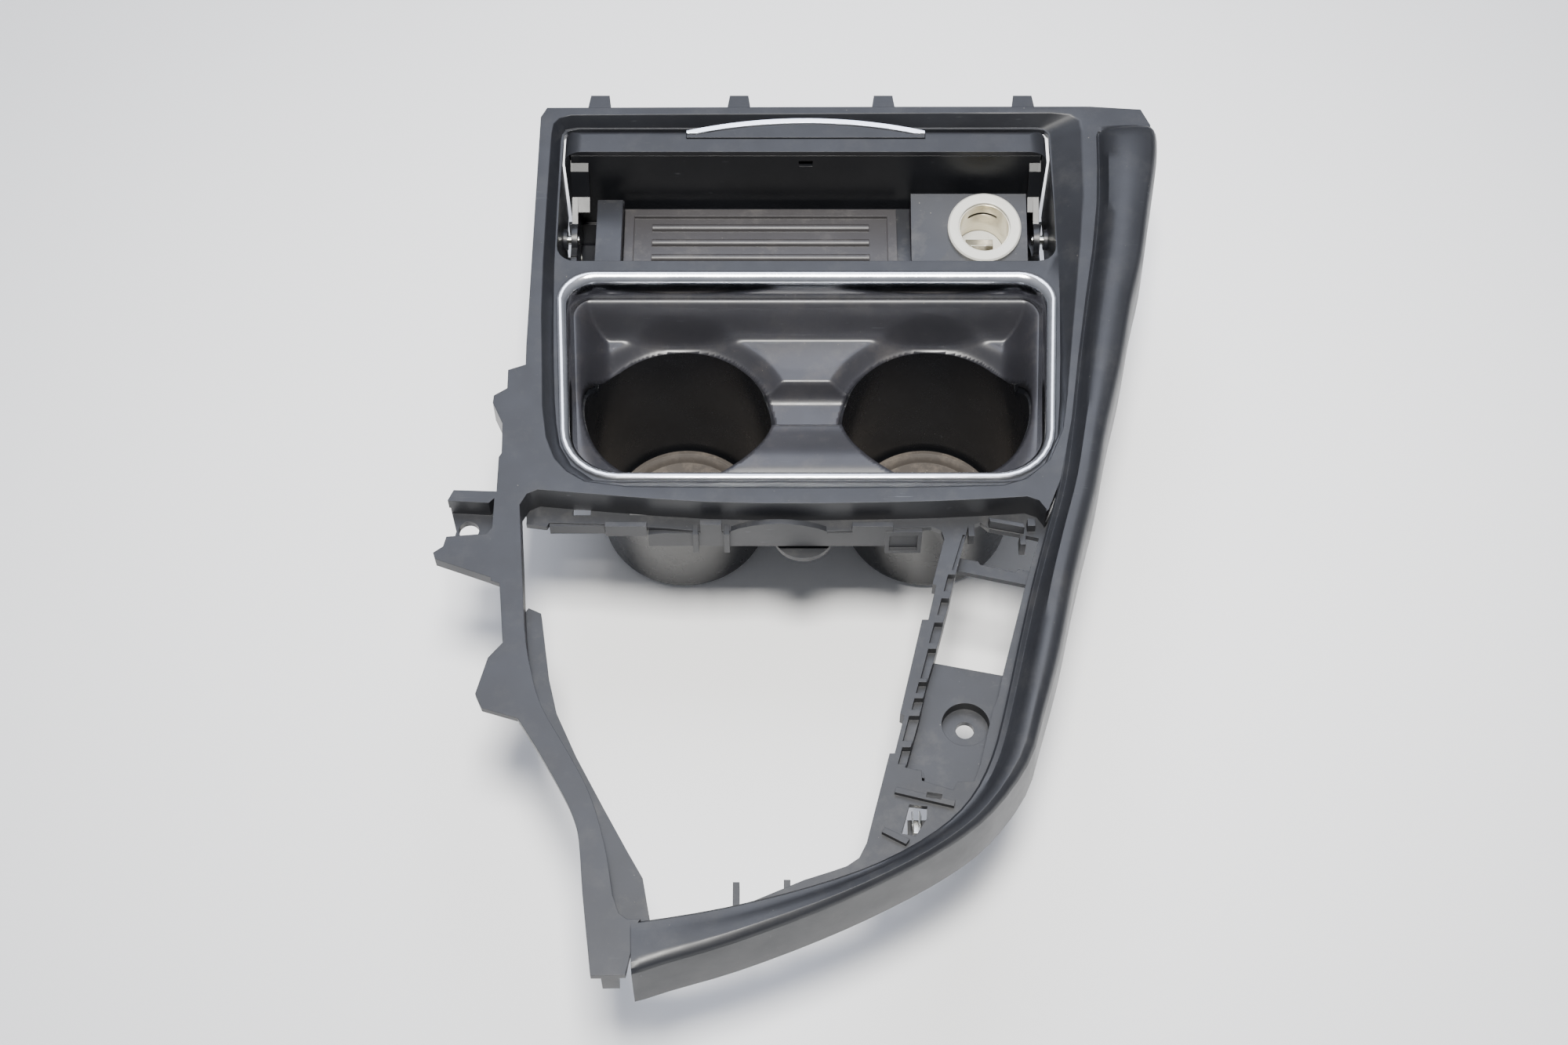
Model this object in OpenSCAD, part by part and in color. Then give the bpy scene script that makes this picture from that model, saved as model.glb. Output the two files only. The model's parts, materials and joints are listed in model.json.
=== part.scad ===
// Centre console panel with twin cup holder, lidded tray and power socket.
// X runs across the car, +Y to its front and +Z up; the part stands on its cups.
// Plan sizes are given from the point midway between the cups, and the whole
// part is then moved so that the origin lies under the middle of its box.

/* [Panel] */
// Height of the panel's rim above the cup bottoms
panel_z = 109; // [104:0.5:118]
// Wall of the trim panel
panel_wall = 2.8; // [2.2:0.1:3.4]
// Depth of the recess that holds the lid and the surround
recess_depth = 6; // [4.5:0.5:8]
// Depth of the wall round the shifter opening
shifter_wall = 12.4; // [9:0.1:16]
// Reach of the bolster's skirt below the rim
skirt_drop = 25; // [18:1:32]
// Rise of the bolster above the rim
bolster_rise = 5.5; // [3:0.5:8]
// Distance from the cups to the front edge
front_y = 143.5; // [142:0.5:150]
// Distance from the cups to the rear corner
rear_y = 252; // [246:1:262]
// Reach of the front locating tongues
tongue_reach = 10.5; // [8:0.5:14]
// Reach of the side screw tab beyond the rail
tab_reach = 18; // [15:0.5:22]
// Diameter of the side screw tab's hole
tab_hole_d = 7.9; // [5:0.1:9]

/* [Cups] */
// Diameter of each cup at its mouth
cup_d = 78; // [70:0.5:80]
// Distance between the cup centres
cup_pitch = 104; // [102:0.5:108]
// Outer diameter of each cup at its foot
cup_foot_d = 71; // [64:0.5:72]
// Wall of the cups
cup_wall = 2.2; // [1.6:0.1:3]
// Rounding between a cup's wall and its bottom
cup_fillet = 8; // [5:0.5:10]
// Thickness of a cup mat
mat_thick = 3; // [2:0.5:5]
// Wall of the basin cover
basin_wall = 2.4; // [1.8:0.1:3]

/* [Surround] */
// Height of the surround's flange above its ledge
surround_flange = 1.2; // [0.8:0.1:2]
// Depth of the surround's inner slope
surround_depth = 11; // [8:0.5:12]

/* [Lid] */
// Half the width of the lid
lid_half = 103.5; // [100:0.5:103.8]
// Thickness of the lid over its edge
lid_thick = 12.5; // [10:0.5:14]
// Distance from the hinge axis to the lid's outer face
lid_rise = 33.5; // [33:0.5:34]
// Diameter of the hinge pins
pin_d = 4; // [3:0.1:5]
// Rise of the grip's arch above the lid's face
grip_rise = 5; // [3:0.5:6]
// Half the length of the grip
grip_half = 51; // [40:1:60]

/* [Tray and socket] */
// Height of the tray's floor
tray_floor_z = 73.5; // [72:0.5:75]
// Wall of the tray
tray_wall = 2.5; // [2:0.1:3.2]
// Bore of the power socket
socket_bore_d = 21; // [20:0.1:22]
// Length of the power socket
socket_length = 32; // [30:1:33]
// Lean of the socket towards the rear of the car
socket_lean = 16; // [10:1:18]

/* [Carrier] */
// Wall of the carrier frame
carrier_wall = 2.6; // [2:0.1:3.2]
// Height of the rear screw plate below the rim
plate_drop = 24; // [20:0.5:26]
// Diameter of the rear plate's screw hole
plate_hole_d = 7; // [5:0.1:8]

/* [Hidden] */

eps = 0.01;
// Gap between pieces that seat on one another
seat = 0.3;
$fn = 48;

// Origin under the middle of the part's box.
right_x = 151.167;
tab_x = -120.5 - tab_reach - 4.8;
shift_x = -(right_x + tab_x) / 2;
shift_y = -(front_y + tongue_reach - rear_y) / 2;

ledge_z = panel_z - recess_depth;
ledge_low = ledge_z - panel_wall;
wall_low = panel_z - shifter_wall;
skirt_low = panel_z - skirt_drop;

// Curves.
function mix(a, b, t) = a + (b - a) * t;
function ease(t) = let(c = max(0, min(1, t))) c * c * (3 - 2 * c);
// One point of a smooth curve through the points of p.
function curve_at(p, i, t) =
  let(n = len(p) - 1, a = p[max(i - 1, 0)], b = p[i], c = p[min(i + 1, n)], d = p[min(i + 2, n)])
  0.5 * ((2 * b) + (c - a) * t + (2 * a - 5 * b + 4 * c - d) * t * t + (3 * b - a - 3 * c + d) * t * t * t);
// The curve with k steps between each two points.
function curve(p, k = 4) = [
  for (i = [0:len(p) - 2]) for (j = [0:k - 1]) curve_at(p, i, j / k),
  p[len(p) - 1]
];
function arc(c, r, a0, a1, n) = [for (i = [0:n]) let(a = mix(a0, a1, i / n)) [c[0] + r * cos(a), c[1] + r * sin(a)]];
function lift(p, z) = [for (q = p) [q[0], q[1], z]];
function mirrored(p) = [for (i = [len(p) - 1:-1:0]) [-p[i][0], p[i][1]]];

// A closed band whose rings have equal numbers of points.
module band(rings) {
  n = len(rings[0]);
  m = len(rings);
  polyhedron(
    points = [for (r = rings) for (q = r) q],
    faces = [
      for (i = [0:m - 1]) for (j = [0:n - 1])
        let(a = i * n + j, b = i * n + (j + 1) % n, c = ((i + 1) % m) * n + (j + 1) % n, d = ((i + 1) % m) * n + j)
          each [[a, b, c], [a, c, d]]
    ]
  );
}

// A solid drawn through open sections, closed by a face at each end.
module drawn(sections) {
  n = len(sections[0]);
  m = len(sections);
  polyhedron(
    points = [for (s = sections) for (q = s) q],
    faces = [
      for (i = [0:m - 2]) for (j = [0:n - 1])
        let(a = i * n + j, b = i * n + (j + 1) % n, c = (i + 1) * n + (j + 1) % n, d = (i + 1) * n + j)
          each [[a, b, c], [a, c, d]],
      [for (j = [n - 1:-1:0]) j],
      [for (j = [0:n - 1]) (m - 1) * n + j]
    ]
  );
}

module at_origin() {
  translate([shift_x, shift_y, 0]) children();
}

// Surround outline.
// Rounded outline that narrows to the rear; o moves it inwards.
function surround(o = 0) = concat(
  arc([88, 43], 15 - o, 90, 3, 8),
  arc([74.5, -20.5], 24 - o, -3, -90, 8),
  arc([-74.5, -20.5], 24 - o, 270, 183, 8),
  arc([-88, 43], 15 - o, 177, 90, 8)
);

// Panel outlines.
// Inner edge of the S-shaped rail beside the shifter opening.
rail_inner = curve([
  [-111.5, -60], [-109.7, -80], [-106.5, -114.4], [-103.5, -131], [-98.5, -147.4], [-88, -166],
  [-79.2, -183], [-73, -203], [-69.5, -222]
], 3);
// Outer edge of the same rail, from the side tab back to the corner.
rail_outer = curve([
  [-106.9, -152.6], [-98, -167], [-90.6, -180], [-85.3, -190.6], [-82.3, -201], [-80, -222], [-76, -rear_y]
], 3);
// Front edge of the shifter opening.
shifter_front = curve([[-105, -53], [-76, -55.8], [-40, -58.7], [0, -59.4], [51, -58.3], [85, -56.2]], 2);

// Stations of the bolster: inner edge, foot of the skirt, rise, inner lip, and how far the groove shows.
rise = bolster_rise;
stations = [
  [124.2, 135, 143.5, 135.6, 0.8, 3, 0], [123.5, 131, 147, 131.5, 1.2, 3, 0.2], [122.8, 127, 151, 128, rise * 0.8, 3, 0.8],
  [122, 110, 150, 112, rise, 3, 1], [120.5, 90, 145.5, 88, rise, 3, 1], [117, 65, 140.3, 60, rise, 3, 1],
  [112.5, 40, 134, 35, rise, 3, 1], [107.5, 10, 127.5, 5, rise, 3, 1], [103, -20, 120, -24, rise, 3, 1],
  [98, -48, 113.8, -52, rise, 5, 1], [91.8, -70, 107.5, -75, rise, 12, 1], [85, -94, 101.5, -98, rise, 12, 0.9],
  [78.5, -120, 95, -125, rise * 0.96, 12, 0.7], [72, -147, 87.3, -151, rise * 0.9, 12, 0.45],
  [66, -168, 80.2, -172, rise * 0.8, 12, 0.25], [57.5, -184.5, 66, -191.5, rise * 0.7, 12, 0.1],
  [45, -197, 50, -204.5, rise * 0.6, 12, 0], [25, -209, 28.5, -217, rise * 0.5, 12, 0], [0, -218.5, 3.6, -229, rise * 0.4, 12, 0],
  [-30, -226.5, -25.3, -240.5, rise * 0.3, 12, 0], [-56, -231.2, -49.5, -248, rise * 0.2, 12, 0],
  [-64, -232, -62, -rear_y, rise * 0.16, 12, 0], [-72, -232.4, -73, -rear_y - 0.6, rise * 0.16, 12, 0]
];

// Shell profile at a station, from the inner lip over the crown to the skirt.
function shell(s) =
  let(
    a = [s[0], s[1]], b = [s[2], s[3]], w = norm(b - a), d = (b - a) / w, r = s[4], t = panel_wall, lip = s[5], v = s[6],
    g = min(1.2, r * 0.3), k = min(1, w / 14),
    prof = [
      [0, -lip], [0, -0.8], [0.8, 0], [2.6 * k, mix(0.1, -g, v)], [mix(4.6, 3.8, v) * k, mix(r * 0.3, r * 0.1 - g * 0.6, v)],
      [mix(0.38 * w, 6 * k, v), mix(r * 0.6, r * 0.66, v)], [mix(0.54 * w, 0.4 * w, v), mix(r * 0.84, r * 0.93, v)],
      [mix(0.68 * w, 0.58 * w, v), r], [w - 4.4 * k, mix(r, r * 0.88, v)], [w - 2.4 * k, mix(r - 0.9, r * 0.56, v)],
      [w - 1.1 * k, mix(r - 2.6, -0.6, v)], [w, -skirt_drop], [w - t * k, -skirt_drop],
      [w - (1.1 + t) * k, mix(r - 4, -2.8, v)], [w - 5.6 * k, r * 0.86 - t - 0.4], [0.56 * w, r * 0.84 - t],
      [mix(0.4, 0.32, v) * w, r * 0.55 - t], [t * k, -g - t], [t * k, -lip]
    ]
  ) [for (p = prof) [a[0] + d[0] * p[0], a[1] + d[1] * p[0], panel_z + p[1]]];

module bolster() {
  path = curve(stations, 3);
  difference() {
    drawn([for (s = path) shell(s)]);
    translate([110, 132.2, 60]) cube([50, 20, 80]);
    translate([0, 0, 60]) linear_extrude(80) polygon([[-80, -220], [-63.4, -220], [-61.6, -260], [-80, -260]]);
  }
}

// Plan of the flat rim without the bolster.
module rim_plan() {
  difference() {
    polygon(concat(
      [
        [-111.5, front_y - 0.6], [-114, front_y - 6], [-113.3, 16], [-113, 6.6], [-119.9, 4], [-119.7, -5],
        [-124.8, -8.5], [-125, -12], [-120.5, -22], [-120, -36], [-121, -38], [-120.5, -94], [-117.1, -95.3],
        [-114.3, -121], [-119.4, -127.4], [-123.1, -142.5], [-120.4, -148.4]
      ],
      rail_outer,
      [[-64, -rear_y + 0.2], [-60, -232]],
      [
        [93, -62], [98.5, -48], [104.5, -20], [109, 10], [114, 40],
        [118.5, 65], [122, 90], [123.6, 110], [124.4, 127], [125.4, 129.4], [147.6, 129.4], [148, 133], [144.5, front_y - 1.6],
        [122.7, front_y + 0.1], [35, front_y]
      ]
    ));
    shifter_plan();
  }
}

// Plan of the shifter opening, up to the bolster's inner edge.
module shifter_plan() {
  polygon(concat(
    [[-111.5, -60], [-109, -55]],
    shifter_front,
    [[89.5, -58], [92, -62], [92.2, -68], [78.5, -120], [72, -147], [66, -168], [57.5, -184.5], [45, -197]],
    [[25, -209], [0, -218.5], [-30, -226.5], [-56, -231.2], [-64, -231.2], [-67, -229]],
    [for (i = [len(rail_inner) - 1:-1:0]) rail_inner[i]]
  ));
}

// Crest and foot of the recess's bevel, point for point.
recess_crest = [
  [0, 139.6], [60, 140], [106, 140.4], [115, 139.6], [119, 136], [119.6, 130], [118, 94], [114.5, 68], [111, 44],
  [107, 16], [103.9, -7.2], [100.9, -24.6], [95, -39], [85.6, -48], [76, -51.5], [40, -52.6],
  [0, -52.8], [-40, -52.6], [-70, -52.2], [-87, -49.6], [-94.3, -45], [-99.5, -39], [-103.4, -29], [-105.7, -14],
  [-107.2, 12], [-108.5, 32], [-109.2, 60], [-109.4, 94], [-109.2, 128], [-108.4, 134], [-106, 137.2], [-101, 138.8], [-60, 139.2]
];
recess_foot = [
  [0, 136.6], [60, 136.7], [100, 136.8], [104, 136], [105.6, 134], [105.8, 129], [105.4, 94], [105, 66], [104.2, 43],
  [102.6, 14], [101, -8], [99.2, -24], [93, -38], [84, -44.9], [76, -45.6], [40, -45.4],
  [0, -45.4], [-40, -45.4], [-75, -45.6], [-84, -44.9], [-93, -38], [-98, -28.6], [-99.9, -18], [-101.2, -6],
  [-102.6, 14], [-103.6, 32], [-104.8, 62], [-105.2, 94], [-105.4, 129], [-105, 133], [-103.6, 135.4], [-99, 136.6], [-60, 136.6]
];

// Ring of points t of the way from the crest (0) to the foot (1) of the bevel.
function bevel_ring(t) = [for (i = [0:len(recess_crest) - 1]) mix(recess_crest[i], recess_foot[i], t)];

// Space inside the recess, above its floor.
module recess_space() {
  intersection() {
    drawn([
      lift(bevel_ring(1.05), ledge_z - 1), lift(bevel_ring(1), ledge_z), lift(bevel_ring(0.15), panel_z - 0.4),
      lift(bevel_ring(0.02), panel_z), lift(bevel_ring(-0.15), panel_z + 2)
    ]);
    translate([-150, -90, ledge_z]) cube([300, 260, 7.5]);
  }
}

// Opening of the storage compartment in the recess's floor.
module compartment_plan() {
  polygon(concat(
    arc([-96.2, 72], 8, 180, 270, 5), arc([96.3, 72], 8, 270, 360, 5),
    [[104.7, 94], [104.7, 133], [103, 135.4], [99, 136], [-98, 136], [-102.6, 134.8], [-104.2, 132], [-104.4, 94]]
  ));
}

// Tab that takes a screw at the side, with a sunk floor.
module side_tab() {
  x1 = -120.5;
  x0 = x1 - tab_reach;
  difference() {
    union() {
      translate([0, 0, panel_z - 5]) linear_extrude(5) polygon([
        [x1 + 2, -54], [x0 + 1, -53.3], [x0 - 1, -58], [x0 + 1.4, -66.6], [x0 - 1.2, -78.9], [x0 - 4.8, -81.7],
        [x0 - 3.8, -84.5], [-116, -94.4]
      ]);
      translate([0, 0, panel_z - 12]) linear_extrude(10) polygon([
        [x1 + 1.4, -54.6], [x0 + 1.6, -54], [x0 - 0.4, -58], [x0 + 2, -66.6], [x0 + 0.4, -75.4], [x1 + 1.4, -73.6]
      ]);
    }
    translate([0, 0, panel_z - 9]) linear_extrude(12) polygon([
      [x1 - 1, -57], [x1 - 3, -59.2], [x0 - 6, -58], [x0 - 6, -75], [x1 - 3, -73.2], [x1 - 1, -70.4]
    ]);
    translate([tab_center[0], tab_center[1], panel_z - 20]) cylinder(d = tab_hole_d, h = 30);
  }
}
tab_center = [-120.5 - tab_reach * 0.62, -66.2];

// Tongues that locate the front edge, each with a stepped root.
module front_tongues() {
  for (x = [-89.4, -29, 33.7, 94.3]) {
    y = front_y - 2;
    translate([x, 0, panel_z - 7]) linear_extrude(2.4) polygon([
      [-7.2, y], [-7.2, y + 4.6], [-5, y + 4.6], [-3.9, front_y + tongue_reach], [4.2, front_y + tongue_reach],
      [5.2, y + 4.6], [7.2, y + 4.6], [7.2, y]
    ]);
    translate([x - 12, y - 1, panel_z - 7]) cube([24, 4.2, 2.4]);
    for (d = [-4, 3]) translate([x + d, y, panel_z - 9]) cube([1, 5, 3]);
  }
}

module trim_panel() {
  color("dimgray") at_origin() difference() {
    union() {
      difference() {
        union() {
          translate([0, 0, panel_z - panel_wall]) linear_extrude(panel_wall) rim_plan();
          translate([0, 0, ledge_low]) linear_extrude(recess_depth + 0.4) offset(delta = 1.5) polygon(bevel_ring(0.12));
        }
        recess_space();
        translate([0, 0, ledge_low - 2]) linear_extrude(20) polygon(surround(1.8));
        translate([0, 0, ledge_low - 2]) linear_extrude(20) compartment_plan();
      }
      translate([0, 0, wall_low]) linear_extrude(shifter_wall - 0.6) difference() {
        rim_plan();
        offset(delta = -panel_wall) rim_plan();
        translate([-112, -50]) square([270, 184]);
        translate([-66.5, -256]) square([20, 23.5]);
        polygon([
          [-160, -40], [-116, -40], [-116, -60], [-114.5, -90], [-111, -114], [-109, -131], [-103.5, -147.4], [-93, -166],
          [-85.5, -183], [-78.5, -203], [-74.5, -222], [-72.5, -240], [-72.5, -256], [-160, -256]
        ]);
      }
      bolster();
      side_tab();
      front_tongues();
    }
    translate([tab_center[0], tab_center[1], 60]) cylinder(d = tab_hole_d, h = 60);
  }
}

// Chrome surround.
module chrome_surround() {
  zt = ledge_z + surround_flange;
  zb = zt - surround_depth;
  color("gainsboro") at_origin() band([
    lift(surround(0), ledge_z), lift(surround(0), zt - 0.3), lift(surround(0.4), zt), lift(surround(2.2), zt + 0.2),
    lift(surround(3), zt - 0.4), lift(surround(6.4), zb + 0.3), lift(surround(6.1), zb), lift(surround(5.3), zb),
    lift(surround(2.4), ledge_z)
  ]);
}

// Basin.
rim_z = ledge_z + surround_flange - surround_depth - seat;
xs_half = [0, 6, 11, 16, 22, 30, 38, 46, 54, 62, 70, 78, 84, 89, 93, 97, 101, 106];
xs = concat([for (i = [len(xs_half) - 1:-1:1]) -xs_half[i]], xs_half);
ys = [-48, -43, -40, -37, -33, -28, -22, -17, -13, -10.5, -7, -2, 4, 10, 14, 17, 19.5, 23, 30, 38, 44, 48, 51, 54, 57, 62];

// Height of the scooped cover above the floor.
function scoop(x, y) =
  let(
    ax = abs(x),
    low = rim_z - 16,
    side = mix(low, rim_z - 2.5, ease((18 - y) / 56)),
    pad = y > -9 ? (y > 18 ? low + 0.5 : low - 1.5 + 2 * ease((y - 14) / 4)) : mix(rim_z - 2.5, rim_z + 1.5, ease((-9 - y) / 20)),
    base = mix(pad, side, ease((ax - 34) / 22)),
    half = y > 43 ? 88 + 15 * sqrt(max(0, 1 - pow((y - 43) / 15, 2))) : mix(98.5, 103, (y + 20.5) / 63.5),
    ex = half - 6.4 - ax,
    fy = 58 - 6.4 - y,
    ry = y + 44.5 - 6.4,
    e = min(ex / 15, fy / 9, ry / 7),
    w = 1 - ease(e)
  ) mix(base, rim_z, w);

// Layer that follows the scooped cover, from low to high against its face.
module scoop_layer(low, high) {
  nx = len(xs);
  ny = len(ys);
  polyhedron(
    points = concat(
      [for (y = ys) for (x = xs) [x, y, scoop(x, y) + high]],
      [for (y = ys) for (x = xs) [x, y, scoop(x, y) + low]]
    ),
    faces = concat(
      [for (j = [0:ny - 2]) for (i = [0:nx - 2]) let(a = j * nx + i) each [[a, a + nx, a + nx + 1], [a, a + nx + 1, a + 1]]],
      [for (j = [0:ny - 2]) for (i = [0:nx - 2]) let(a = nx * ny + j * nx + i) each [[a, a + nx + 1, a + nx], [a, a + 1, a + nx + 1]]],
      [for (i = [0:nx - 2]) let(b = nx * ny) each [[i, i + 1, b + i + 1], [i, b + i + 1, b + i]]],
      [for (i = [0:nx - 2]) let(a = (ny - 1) * nx + i, b = nx * ny + a) each [[a + 1, a, b], [a + 1, b, b + 1]]],
      [for (j = [0:ny - 2]) let(a = j * nx, b = nx * ny + a) each [[a + nx, a, b], [a + nx, b, b + nx]]],
      [for (j = [0:ny - 2]) let(a = j * nx + nx - 1, b = nx * ny + a) each [[a, a + nx, b + nx], [a, b + nx, b]]]
    )
  );
}

boss_points = [[0, 33], [0, -33]];
boss_low = 62;

module cup_basin() {
  color("gray") at_origin() difference() {
    union() {
      intersection() {
        scoop_layer(-basin_wall, 0);
        translate([0, 0, 40]) linear_extrude(80) polygon(surround(5));
      }
      band([
        lift(surround(-1), ledge_low), lift(surround(1.4), ledge_low), lift(surround(1.4), rim_z - 0.4),
        lift(surround(4.4), rim_z - 0.4), lift(surround(6.3), rim_z - 1.2), lift(surround(6.3), rim_z - 1.7),
        lift(surround(4.4), rim_z - 2.4), lift(surround(-1), rim_z - 2.4)
      ]);
      for (p = boss_points) translate([p[0], p[1], boss_low]) cylinder(d = 9, h = scoop(p[0], p[1]) - boss_low - 1);
    }
    for (s = [-1, 1]) translate([s * cup_pitch / 2, 0, 40]) cylinder(d = cup_d + 1, h = 80, $fn = 96);
    for (p = boss_points) translate([p[0], p[1], boss_low - 1]) cylinder(d = 3.2, h = 10);
  }
}

// Cups.
module cup_outer(grow = 0) {
  r0 = cup_foot_d / 2 + grow;
  r1 = cup_d / 2 + cup_wall + grow;
  rotate_extrude($fn = 96) polygon(concat(
    [[0, -grow]], arc([r0 - cup_fillet, cup_fillet - grow], cup_fillet, -90, -2, 8), [[r1, 96], [0, 96]]
  ));
}

module cup_inner() {
  r0 = cup_foot_d / 2 - cup_wall;
  r1 = cup_d / 2;
  f = cup_fillet - cup_wall;
  rotate_extrude($fn = 96) polygon(concat(
    [[0, cup_wall]], arc([r0 - f, cup_wall + f], f, -90, -2, 8), [[r1, 96.5], [0, 96.5]]
  ));
}

module cup_housing() {
  color("black") at_origin() difference() {
    union() {
      difference() {
        for (s = [-1, 1]) translate([s * cup_pitch / 2, 0, 0]) cup_outer();
        scoop_layer(-basin_wall - seat, 60);
      }
      difference() {
        translate([0, 0, boss_low - seat - 3]) linear_extrude(3) polygon([
          [-30, 30], [-8, 41], [8, 41], [30, 30], [16, 0], [30, -30], [8, -41], [-8, -41], [-30, -30], [-16, 0]
        ]);
        for (p = boss_points) translate([p[0], p[1], 50]) cylinder(d = 3.6, h = 20);
      }
      translate([-1.2, -28, 24]) cube([2.4, 56, boss_low - seat - 27]);
      for (y = [-6, 4]) translate([-20, y, 24]) cube([40, 2.2, boss_low - seat - 27]);
    }
    for (s = [-1, 1]) translate([s * cup_pitch / 2, 0, 0]) cup_inner();
  }
}

// Rubber mat with a rounded rim and a sunk middle.
module cup_mat() {
  r = cup_foot_d / 2 - cup_wall - 0.6;
  z = cup_wall + 0.05;
  translate([0, 0, z]) rotate_extrude($fn = 96) polygon([
    [0, 0], [r - 6, 0], [r - 2.4, 0.9], [r - 0.7, 3.6], [r - 0.5, mat_thick + 3], [r - 1.3, mat_thick + 4.2],
    [r - 3, mat_thick + 4.4], [r - 4.6, mat_thick + 3], [r - 5.6, mat_thick + 1], [r - 17, mat_thick + 0.6],
    [r - 18.5, mat_thick], [0, mat_thick]
  ]);
}

module left_cup_mat() {
  color("darkgray") at_origin() translate([-cup_pitch / 2, 0, 0]) cup_mat();
}

module right_cup_mat() {
  color("darkgray") at_origin() translate([cup_pitch / 2, 0, 0]) cup_mat();
}

// Tray.
hinge_y = 131 - lid_rise;
hinge_z = panel_z - 0.5 - lid_rise;
// Inner side of the tray's cheeks, and the middle of the lid's necks.
side_in = lid_half + 1.1;
neck_x = side_in - 5;
pin_in = neck_x - 1.7;
socket_x = side_in - 27.6;
socket_y = 98;
socket_z = 82;
// Left and right side of the socket's bay, and the left end of the mat's well.
bay = [socket_x - 29, socket_x + 16];
well_x = 25.6 - side_in;

module socket_place() {
  translate([socket_x, socket_y, socket_z]) rotate([socket_lean, 0, 0]) children();
}

module storage_tray() {
  w = tray_wall;
  color("darkslategray") at_origin() difference() {
    union() {
      // Rear wall and the two cheeks that carry the hinges.
      translate([-side_in - w, 60.6, 62]) cube([2 * side_in + 2 * w, w, ledge_low - 62]);
      for (s = [-1, 1]) translate([s * (side_in + w / 2) - w / 2, 60.6, 62]) cube([w, 60, ledge_low - 62]);
      // Floor of the mat's well, with its end walls.
      translate([well_x, 60.6, tray_floor_z - w]) cube([bay[0] - well_x, 116 - 60.6, w]);
      translate([well_x - 2.4, 60.6, tray_floor_z - w]) cube([w, 116 - 60.6, 8]);
      translate([well_x - 11, 60.6, 82]) cube([11, 112 - 60.6, w]);
      translate([well_x - 11, 60.6, 64]) cube([w, 112 - 60.6, 19]);
      translate([well_x - 2.4, 60.6, 72]) cube([w, 112 - 60.6, 11]);
      translate([well_x, 116 - w, 66]) cube([bay[0] - well_x, w, tray_floor_z - 66]);
      // Sloping bay of the power socket.
      intersection() {
        socket_place() translate([-34, -60, -w]) cube([56, 100, w]);
        translate([bay[0], 60.6, 60]) cube([bay[1] - bay[0], 113.8 - 60.6, 60]);
      }
      intersection() {
        union() {
          translate([bay[0] - w, 60.6, 60]) cube([w, 113.8 - 60.6, 40]);
          translate([bay[1] - eps, 60.6, 60]) cube([w, 113.8 - 60.6, 40]);
        }
        socket_place() translate([-60, -80, -40]) cube([120, 160, 40]);
      }
      socket_place() translate([0, 0, -14]) cylinder(d = socket_bore_d + 9, h = 14);
      // Lug that carries the damper below the left hinge.
      translate([-side_in - w, damper_y - 7, damper_z - 7]) cube([w, 14, 22]);
      // Bosses at the hinge pins.
      for (s = [-1, 1]) translate([s * (side_in - 0.8), hinge_y, hinge_z]) rotate([0, 90, 0]) cylinder(d = pin_d + 5, h = 1.7, center = true);
    }
    for (s = [-1, 1]) translate([s * side_in, hinge_y, hinge_z]) rotate([0, 90, 0]) cylinder(d = pin_d + 0.02, h = 20, center = true);
    socket_place() translate([0, 0, -60]) cylinder(d = socket_bore_d + 5, h = 100);
    translate([-side_in + 1, damper_y, damper_z]) rotate([0, -90, 0]) cylinder(d = 3.1, h = 10);
  }
}

// Ribbed mat in the tray's well.
module tray_mat() {
  x0 = well_x + 0.6;
  x1 = bay[0] - 6 - tray_wall;
  color("dimgray") at_origin() {
    difference() {
      translate([x0, 63.6, tray_floor_z]) cube([x1 - x0, 49.6, 3.2]);
      translate([x0 + 4, 67.6, tray_floor_z + 1.6]) cube([x1 - x0 - 8, 41.6, 5]);
    }
    for (i = [0:4]) translate([x0 + 12, 71 + 8.2 * i, tray_floor_z + 1.6]) rotate([0, 90, 0]) intersection() {
      cylinder(d = 3.6, h = x1 - x0 - 24, $fn = 24);
      translate([-3, -3, 0]) cube([3, 6, 400]);
    }
  }
}

// Power socket.
// Depth of the plain bore, down to the contact.
bore_depth = socket_length - 12;

module socket_shell() {
  color("silver") at_origin() socket_place() difference() {
    union() {
      translate([0, 0, -socket_length]) cylinder(d = socket_bore_d + 2.4, h = socket_length + 1, $fn = 64);
      translate([0, 0, 0.05]) cylinder(d = socket_bore_d + 5.6, h = 0.95, $fn = 64);
    }
    translate([0, 0, -bore_depth]) cylinder(d = socket_bore_d, h = bore_depth + 6, $fn = 64);
    translate([0, 0, -socket_length - 1]) cylinder(d = socket_bore_d + 0.8, h = socket_length + 1 - bore_depth, $fn = 64);
    translate([-20, socket_bore_d / 2 - 2, -9]) cube([40, 8, 2.4]);
  }
}

module socket_ring() {
  r = socket_bore_d / 2;
  color("white") at_origin() socket_place() rotate_extrude($fn = 64) polygon([
    [r + 2.9, 0.05], [r + 5.3, 0.05], [r + 5.3, 1.6], [r + 4.6, 2.4], [r + 1.2, 2.4], [r + 0.6, 2], [r + 0.5, 1.2],
    [r + 2.9, 1.2]
  ]);
}

// Sprung contact sheet bent into the socket, with its rivet.
module socket_contact() {
  r = socket_bore_d / 2;
  color("gold") at_origin() socket_place() translate([0, 0, -socket_length + 5]) difference() {
    union() {
      translate([-6, -6, 0]) cube([12, 12, 0.8]);
      translate([-5.6, -5.7, 0.1]) rotate([38, 0, 0]) cube([11.2, 9, 0.8]);
      translate([0, 2.5, 0.4]) cylinder(d = 4, h = 2, $fn = 32);
    }
    translate([0, 2.5, -1]) cylinder(d = 2, h = 1.6, $fn = 24);
  }
}

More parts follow.
